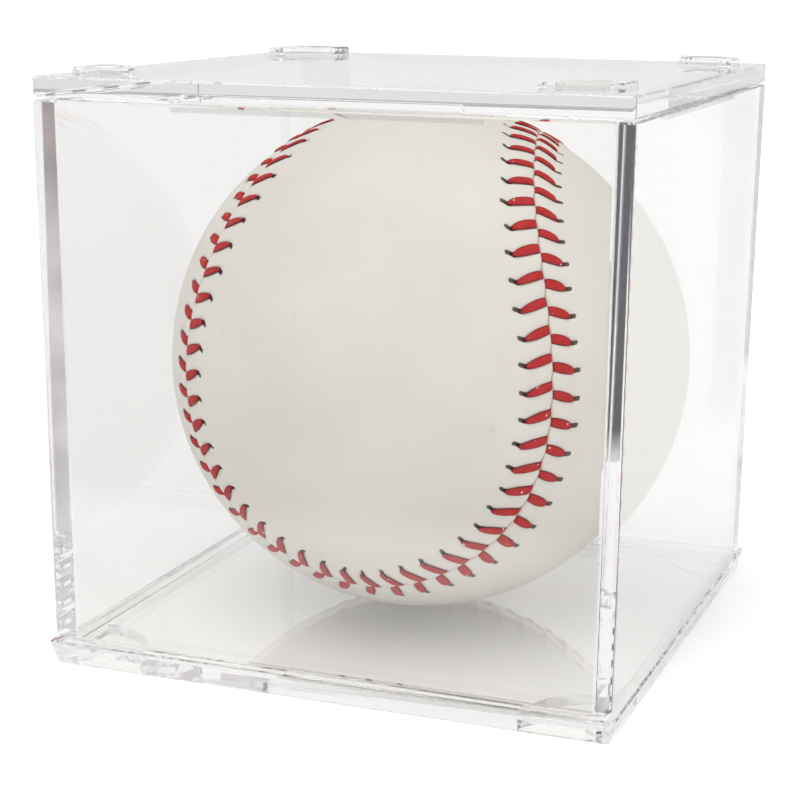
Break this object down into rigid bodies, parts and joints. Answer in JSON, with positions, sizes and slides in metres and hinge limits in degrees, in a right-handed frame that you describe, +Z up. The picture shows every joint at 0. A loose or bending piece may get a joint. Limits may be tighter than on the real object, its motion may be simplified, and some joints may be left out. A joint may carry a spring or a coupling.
{
  "type": "display box",
  "caption": "Clear square display box with a lift-off lid, stacking lugs and a raised base band, holding a stitched leather ball.",
  "frame": {"origin": "centre of the underside of the base, on the surface it stands on", "axes": "+Z up, the way the lid lifts; -Y towards the wall below the lid's fingernail notch"},
  "size_m": [0.082, 0.082, 0.0831],
  "materials": {
    "clear_plastic": "clear injection-moulded polystyrene, polished, faintly warm, with fine scuffs",
    "white_leather": "smooth off-white leather, semi-gloss, faint grain",
    "red_thread": "waxed twisted cotton thread",
    "white_cotton": "wound cotton yarn",
    "grey_wool": "wound wool yarn",
    "black_rubber": "moulded rubber",
    "red_rubber": "moulded rubber",
    "cork": "pressed cork"
  },
  "bodies": {
    "box": {"base": "clear_plastic", "wall_sleeve": "clear_plastic"},
    "lid": {"lid": "clear_plastic"},
    "ball": {"cover_first": "white_leather", "cover_second": "white_leather", "seam_thread": "red_thread", "cotton_winding": "white_cotton", "wool_winding": "grey_wool", "rubber_cup_upper": "black_rubber", "rubber_cup_lower": "black_rubber", "rubber_washer": "red_rubber", "cork_core": "cork"}
  },
  "joints": [
    {"name": "lid_lift", "type": "slide", "parent": "box", "child": "lid", "axis": [0, 0, 1], "range_m": [0, 0.09]},
    {"name": "ball_turn", "type": "hinge", "parent": "box", "child": "ball", "pos_m": [0, 0, 0.04025], "axis": [0, 0, 1], "continuous": true}
  ]
}
